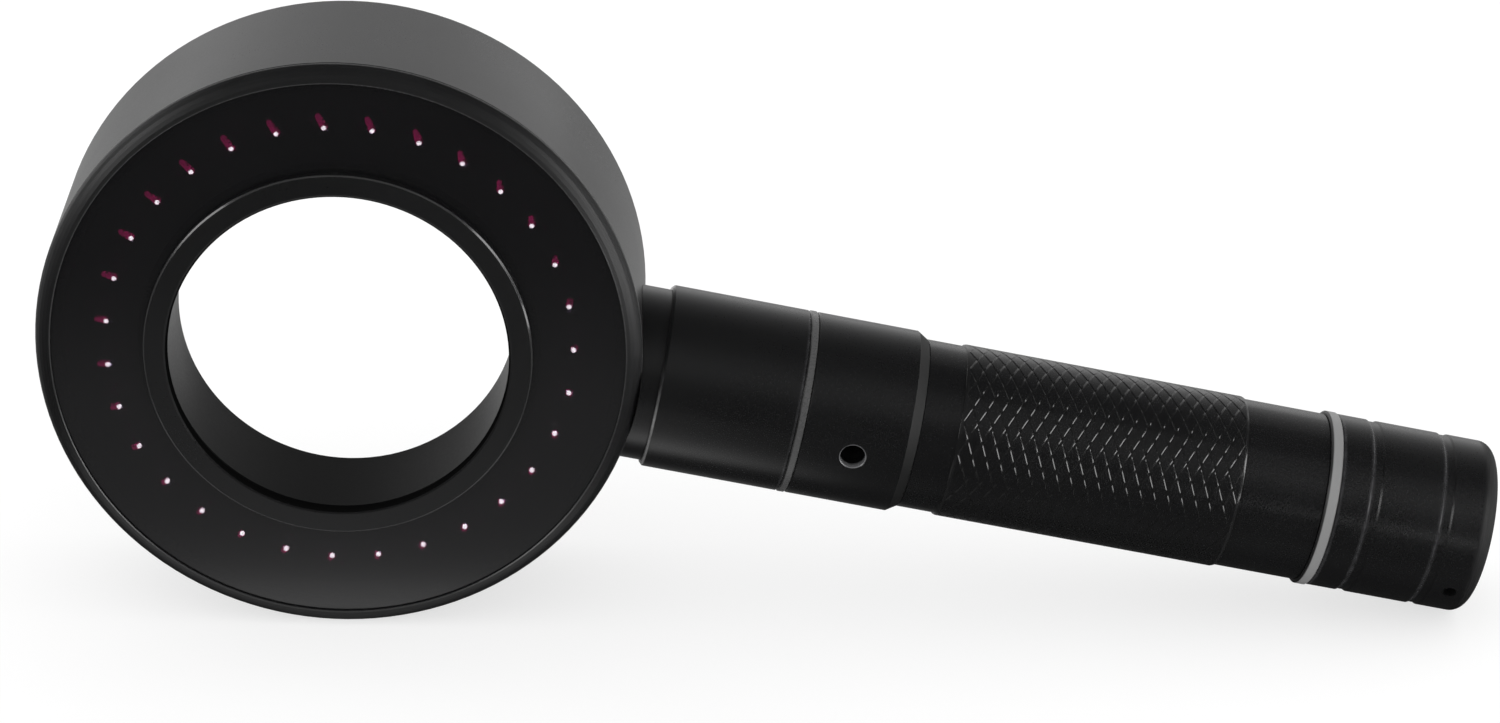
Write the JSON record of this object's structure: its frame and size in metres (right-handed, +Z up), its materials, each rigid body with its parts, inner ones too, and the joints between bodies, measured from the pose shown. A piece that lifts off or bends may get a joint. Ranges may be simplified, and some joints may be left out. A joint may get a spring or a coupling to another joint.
{
  "type": "counterfeit bill detector",
  "caption": "Hand-held ultraviolet torch with an annular lamp head round an open middle and a knurled tubular handle, for looking at banknotes.",
  "frame": {"origin": "middle of the bounding box at the level of the surface that the torch stands on", "axes": "+Z up, +X from the lamp head to the tail, the lamps face -Y; the torch stands on the rim of its head and the low edge of its tail"},
  "size_m": [0.2082, 0.0296, 0.085],
  "materials": {
    "black_anodised": "satin black anodised",
    "bare_aluminium": "turned",
    "black_steel": "black oxide",
    "spring_steel": "plated wire",
    "brass": "turned",
    "dark_filter": "polished, passes ultraviolet only",
    "clear_epoxy": "moulded epoxy lamp",
    "black_rubber": "matt",
    "dark_grey_ring": "satin silicone",
    "light_grey_ring": "satin silicone",
    "black_plastic": "moulded",
    "white_plastic": "moulded",
    "white_board": "solder mask",
    "green_board": "solder mask",
    "wire_cover": "silicone wire covering",
    "cell_wrap": "shrink film"
  },
  "bodies": {
    "torch": {"head_housing": "black_anodised", "bezel_ring": "black_anodised", "filter_glass": "dark_filter", "outer_gasket": "black_rubber", "inner_gasket": "black_rubber", "lip_ring": "black_anodised", "inner_sleeve": "black_anodised", "back_cover": "black_anodised", "cover_screws": "black_steel", "led_board": "white_board", "uv_leds": "clear_epoxy", "led_holder": "black_plastic", "led_resistors": "black_plastic", "board_posts": "brass", "lamp_wires": "wire_cover", "neck_spigot": "black_anodised", "neck_seal": "black_rubber", "front_barrel": "black_anodised", "trim_ring_front": "dark_grey_ring", "port_barrel": "black_anodised", "charging_jack": "black_plastic", "driver_board": "green_board", "driver_parts": "black_plastic", "contact_board": "green_board", "positive_contact": "brass", "battery_tube": "black_anodised", "battery_cell": "cell_wrap", "tail_seal": "black_rubber"},
    "tail_trim": {"trim_ring_tail": "light_grey_ring"},
    "tail_cap": {"tail_cap": "black_anodised", "switch_retainer": "bare_aluminium", "switch_board": "green_board", "tail_spring": "spring_steel", "switch_body": "black_plastic"},
    "button": {"tail_button": "black_rubber", "switch_plunger": "white_plastic"}
  },
  "joints": [
    {"name": "cap_travel", "type": "slide", "parent": "torch", "child": "tail_trim", "axis": [0.9831, 0, -0.183], "range_m": [0, 0.00401]},
    {"name": "cap_turn", "type": "hinge", "parent": "tail_trim", "child": "tail_cap", "pos_m": [0.09076, -0.00065, 0.01413], "axis": [0.9831, 0, -0.183], "range_deg": [0, 1440]},
    {"name": "button_press", "type": "slide", "parent": "tail_cap", "child": "button", "axis": [-0.9831, 0, 0.183], "range_m": [0, 0.0016], "stiffness_N_per_m": 1500, "springref_m": -0.0006}
  ],
  "couplings": [
    {"joint": "cap_travel", "follows": "cap_turn", "m_per_rad": 0.00015915}
  ]
}
